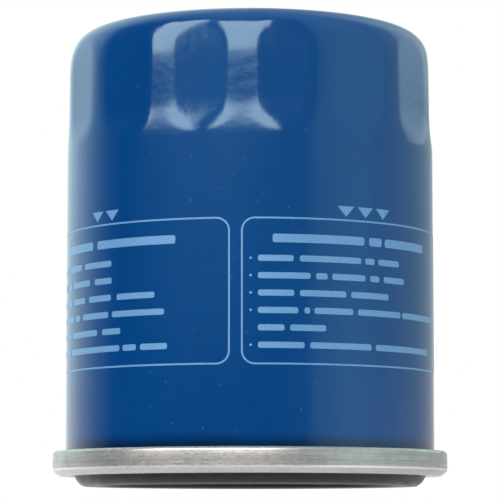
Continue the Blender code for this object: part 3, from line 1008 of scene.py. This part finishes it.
def softbox_light(g, turn, lift):
    """Two tall softboxes side by side, seen as one lit field with a dark gap."""
    left_edge, right_edge = SOFTBOX_EDGES
    across = g.math(
        "MULTIPLY",
        g.remap(turn, left_edge - SOFTBOX_FADE, left_edge + SOFTBOX_FADE),
        g.remap(turn, right_edge - SOFTBOX_FADE, right_edge + SOFTBOX_FADE, 1.0, 0.0),
    )
    off_gap = g.math("ABSOLUTE", g.math("SUBTRACT", turn, SOFTBOX_GAP))
    gap_start = SOFTBOX_GAP_HALF - SOFTBOX_GAP_FADE
    beside_gap = g.remap(off_gap, gap_start, SOFTBOX_GAP_HALF + SOFTBOX_GAP_FADE)
    across = g.math("MULTIPLY", across, beside_gap)
    low_start, low_end, high_start, high_end = SOFTBOX_HEIGHTS
    upward = g.math(
        "MULTIPLY",
        g.remap(lift, low_start, low_end),
        g.remap(lift, high_start, high_end, 1.0, 0.0),
    )
    return g.math("MULTIPLY", g.math("MULTIPLY", across, upward), SOFTBOX_LIGHT)


def mirrored_light(g, turn, lift):
    """What glossy surfaces mirror: walls, a side light, softboxes and a floor darker in front."""
    low_walls = curve(g, turn, ROOM_LOW)
    walls = blend(g, g.remap(lift, *WALL_LIFTS), low_walls, curve(g, turn, ROOM_HIGH))
    side_start, side_full, side_drop, side_end = SIDE_TURNS
    side_on = g.remap(turn, side_start, side_full)
    side = g.math("MULTIPLY", side_on, g.remap(turn, side_drop, side_end, 1.0, 0.0))
    side = g.math("MULTIPLY", side, g.remap(lift, *SIDE_LIFTS, 0.0, SIDE_LIGHT))
    walls = g.math("ADD", walls, side)
    walls = blend(g, g.remap(lift, *CEILING_LIFTS), walls, CEILING_LIGHT)
    softbox = softbox_light(g, turn, lift)
    shaded = g.math("MULTIPLY", low_walls, FLOOR_LIGHT - FLOOR_SHADE)
    far_floor = g.math("ADD", FLOOR_SHADE, shaded)
    floor = blend(g, g.remap(lift, *FLOOR_LIFTS), FLOOR_LIGHT, far_floor)
    on_floor = g.remap(lift, *HORIZON_LIFTS, 1.0, 0.0)
    level = blend(g, on_floor, g.math("ADD", walls, softbox), floor)
    cool_walls = g.math("MULTIPLY", walls, g.remap(lift, *WALL_RED_LIFTS, 1.0, WALL_RED))
    warm_softbox = g.math("MULTIPLY", softbox, SOFTBOX_RED)
    red = blend(g, on_floor, g.math("ADD", cool_walls, warm_softbox), floor)
    parts = {"Red": red, "Green": level, "Blue": level}
    return g.add("ShaderNodeCombineColor", parts).outputs["Color"]


def matt_light(g, near_share, right_share, rise):
    """Light on matt surfaces: strongest from above and from the camera's upper left."""
    soft = g.math("ADD", MATT_BASE, g.math("MULTIPLY", near_share, MATT_FRONT))
    soft = g.math("ADD", soft, g.math("MULTIPLY", right_share, MATT_RIGHT))
    soft = g.math("ADD", soft, g.math("MULTIPLY", rise, MATT_ABOVE))
    soft = g.math("MAXIMUM", soft, MATT_LEAST)
    parts = {"Red": soft, "Green": soft, "Blue": soft}
    return g.add("ShaderNodeCombineColor", parts).outputs["Color"]


def make_world():
    """Soft studio that turns with the camera, in front of a white backdrop."""
    world = bpy.data.worlds.new("studio")
    bpy.context.scene.world = world
    world.use_nodes = True
    world.cycles.sampling_method = "NONE"
    g = Graph(world.node_tree)
    ray = g.add("ShaderNodeLightPath").outputs
    toward = g.add("ShaderNodeTexCoord").outputs["Generated"]
    ahead = g.add(
        "ShaderNodeVectorTransform",
        {"Vector": (0.0, 0.0, 1.0)},
        vector_type="VECTOR",
        convert_from="CAMERA",
        convert_to="WORLD",
    ).outputs["Vector"]
    level = g.vector("NORMALIZE", g.vector("MULTIPLY", ahead, (1.0, 1.0, 0.0)))
    right = g.vector("CROSS_PRODUCT", level, (0.0, 0.0, 1.0))
    near_share = g.math("MULTIPLY", g.vector("DOT_PRODUCT", toward, level), -1.0)
    right_share = g.vector("DOT_PRODUCT", toward, right)
    rise = g.add("ShaderNodeSeparateXYZ", {"Vector": toward}).outputs["Z"]
    to_degrees = 180.0 / math.pi
    turn = g.math("MULTIPLY", g.math("ARCTAN2", right_share, near_share), to_degrees)
    lift = g.math("MULTIPLY", g.math("ARCSINE", rise), to_degrees)
    reflected = mirrored_light(g, turn, lift)
    matt = matt_light(g, near_share, right_share, rise)
    seen = g.mix(ray["Is Glossy Ray"], matt, reflected)
    seen = g.mix(ray["Is Camera Ray"], seen, (1.0, 1.0, 1.0))
    background = g.add("ShaderNodeBackground", {"Color": seen})
    g.add("ShaderNodeOutputWorld", {"Surface": background.outputs[0]})


# Camera: distance in front of the filter, height, the height it looks at and the focal length,
# all in millimetres
CAMERA_AWAY = 500.0
CAMERA_HEIGHT = -8.0
LOOK_HEIGHT = 42.6
LENS = 200.2


def make_camera():
    data = bpy.data.cameras.new("camera")
    data.lens = LENS
    data.sensor_width = 36.0
    data.clip_start = 0.01
    data.clip_end = 20.0
    camera = bpy.data.objects.new("camera", data)
    bpy.context.scene.collection.objects.link(camera)
    camera.location = Vector((0.0, -CAMERA_AWAY, CAMERA_HEIGHT)) * MM
    aim = Vector((0.0, 0.0, LOOK_HEIGHT)) * MM - camera.location
    camera.rotation_euler = aim.to_track_quat("-Z", "Y").to_euler()
    bpy.context.scene.camera = camera


make_can()
ink_piece("print_frames", draw_frames)
ink_piece("print_rows", draw_rows)
ink_piece("print_bullets", draw_bullets)
ink_piece("print_arrows", draw_triangles)
make_seam_ring()
make_gasket()
for spring in SPRINGS:
    make_spring(*spring)
finish_cad_nodes()
make_floor()
make_world()
make_camera()
bpy.context.scene.view_settings.view_transform = "Standard"
